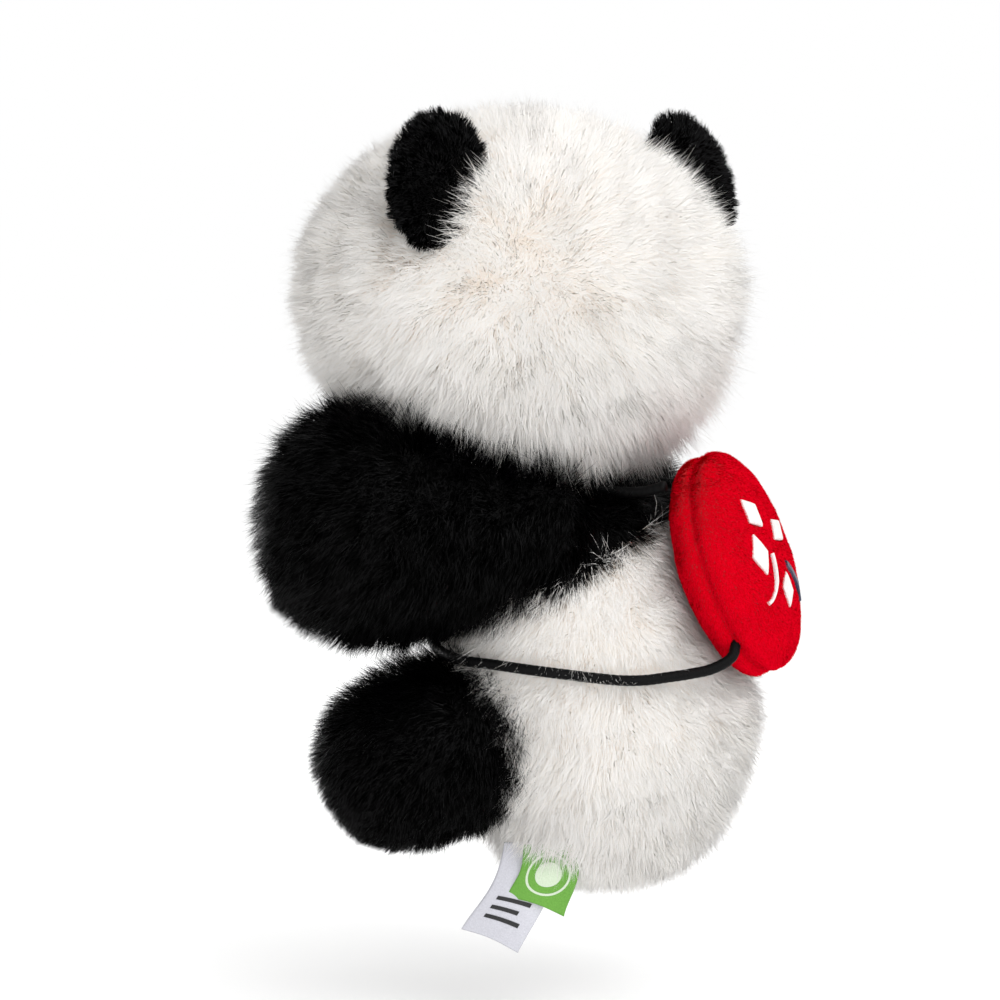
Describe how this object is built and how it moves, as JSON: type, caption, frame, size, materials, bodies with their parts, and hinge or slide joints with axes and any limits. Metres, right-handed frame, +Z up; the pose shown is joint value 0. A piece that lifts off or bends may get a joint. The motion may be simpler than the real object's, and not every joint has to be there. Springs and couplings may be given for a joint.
{
  "type": "plush panda",
  "caption": "Seated plush panda with a round red plush backpack on black elastic straps, head turned to one side, two sewn-in labels; hangs by its crown.",
  "frame": {"origin": "the point on the head's crown that the toy hangs by", "axes": "+Z up, the body faces -Y, the panda's own left side is +X; the head is turned 22 degrees towards -X"},
  "size_m": [0.1516, 0.1404, 0.2279],
  "materials": {
    "fur_white": "matte",
    "fur_black": "matte",
    "plush_red": "matte",
    "cloth_white": "matte",
    "cloth_navy": "matte",
    "stuffing": "matte",
    "bag_cloth": "matte",
    "eye_plastic": "gloss",
    "washer_plastic": "matte",
    "thread": "matte",
    "elastic": "matte",
    "satin": "satin",
    "label_green": "satin"
  },
  "bodies": {
    "head": {"head_back_cover": "fur_white", "face_panel": "fur_white", "muzzle_cover": "fur_white", "head_stuffing": "stuffing", "left_eye_patch": "fur_black", "right_eye_patch": "fur_black", "left_eye": "eye_plastic", "right_eye": "eye_plastic", "left_eye_washer": "washer_plastic", "right_eye_washer": "washer_plastic", "nose": "eye_plastic", "nose_washer": "washer_plastic", "mouth_stitch": "thread"},
    "left_ear": {"left_ear_back": "fur_black", "left_ear_front": "fur_black"},
    "right_ear": {"right_ear_back": "fur_black", "right_ear_front": "fur_black"},
    "neck": {"neck_stuffing": "stuffing"},
    "torso": {"shoulder_yoke": "fur_black", "torso_back_cover": "fur_white", "belly_cover": "fur_white", "seat_panel": "fur_white", "torso_stuffing": "stuffing", "pellet_bag": "bag_cloth", "left_strap": "elastic", "right_strap": "elastic"},
    "left_arm": {"left_arm_cover": "fur_black", "left_arm_stuffing": "stuffing"},
    "right_arm": {"right_arm_cover": "fur_black", "right_arm_stuffing": "stuffing"},
    "left_leg": {"left_leg_cover": "fur_black", "left_leg_sole": "fur_black", "left_leg_stuffing": "stuffing"},
    "right_leg": {"right_leg_cover": "fur_black", "right_leg_sole": "fur_black", "right_leg_stuffing": "stuffing"},
    "backpack": {"pack_front_panel": "plush_red", "pack_back_panel": "plush_red", "pack_stuffing": "stuffing", "pack_lozenge_1": "cloth_white", "pack_lozenge_2": "cloth_white", "pack_lozenge_3": "cloth_white", "pack_lozenge_4": "cloth_white", "pack_stem": "cloth_white", "pack_crescent": "cloth_navy"},
    "care_label_body": {"care_label": "satin"},
    "brand_label_body": {"brand_label": "label_green"}
  },
  "joints": [
    {"name": "left_ear_flop", "type": "hinge", "parent": "head", "child": "left_ear", "pos_m": [0.04514, 0.01295, -0.0174], "axis": [-0.4826, 0.0651, 0.8734], "range_deg": [-8, 8], "stiffness_Nm_per_rad": 0.02},
    {"name": "right_ear_flop", "type": "hinge", "parent": "head", "child": "right_ear", "pos_m": [-0.02904, 0.04291, -0.0174], "axis": [0.3924, -0.2884, 0.8734], "range_deg": [-8, 8], "stiffness_Nm_per_rad": 0.02},
    {"name": "neck_turn", "type": "hinge", "parent": "head", "child": "neck", "pos_m": [0, 0.018, -0.0914], "axis": [0, 0, 1], "range_deg": [-18, 38], "stiffness_Nm_per_rad": 0.4},
    {"name": "neck_nod", "type": "hinge", "parent": "neck", "child": "torso", "pos_m": [0, 0.018, -0.0914], "axis": [1, 0, 0], "range_deg": [-2, 4], "stiffness_Nm_per_rad": 1.2},
    {"name": "left_arm_swing", "type": "hinge", "parent": "torso", "child": "left_arm", "pos_m": [0.025, 0.022, -0.108], "axis": [1, 0, 0], "range_deg": [0, 10], "stiffness_Nm_per_rad": 0.4},
    {"name": "right_arm_swing", "type": "hinge", "parent": "torso", "child": "right_arm", "pos_m": [-0.025, 0.022, -0.108], "axis": [1, 0, 0], "range_deg": [0, 10], "stiffness_Nm_per_rad": 0.4},
    {"name": "left_leg_swing", "type": "hinge", "parent": "torso", "child": "left_leg", "pos_m": [0.025, 0.0135, -0.1634], "axis": [1, 0, 0], "range_deg": [-7, 7], "stiffness_Nm_per_rad": 0.4},
    {"name": "right_leg_swing", "type": "hinge", "parent": "torso", "child": "right_leg", "pos_m": [-0.025, 0.0135, -0.1634], "axis": [1, 0, 0], "range_deg": [-7, 7], "stiffness_Nm_per_rad": 0.4},
    {"name": "pack_pull", "type": "slide", "parent": "torso", "child": "backpack", "axis": [0, 0.9455, 0.3256], "range_m": [0, 0.012], "stiffness_N_per_m": 60, "deforming": ["left_strap", "right_strap"]},
    {"name": "care_label_flap", "type": "hinge", "parent": "torso", "child": "care_label_body", "pos_m": [0.028, 0.026, -0.1939], "axis": [-0.4226, 0.9063, 0], "range_deg": [0, 20], "stiffness_Nm_per_rad": 0.0003},
    {"name": "brand_label_flap", "type": "hinge", "parent": "torso", "child": "brand_label_body", "pos_m": [0.028, 0.026, -0.1939], "axis": [-0.4226, 0.9063, 0], "range_deg": [-20, 0], "stiffness_Nm_per_rad": 0.0003}
  ]
}
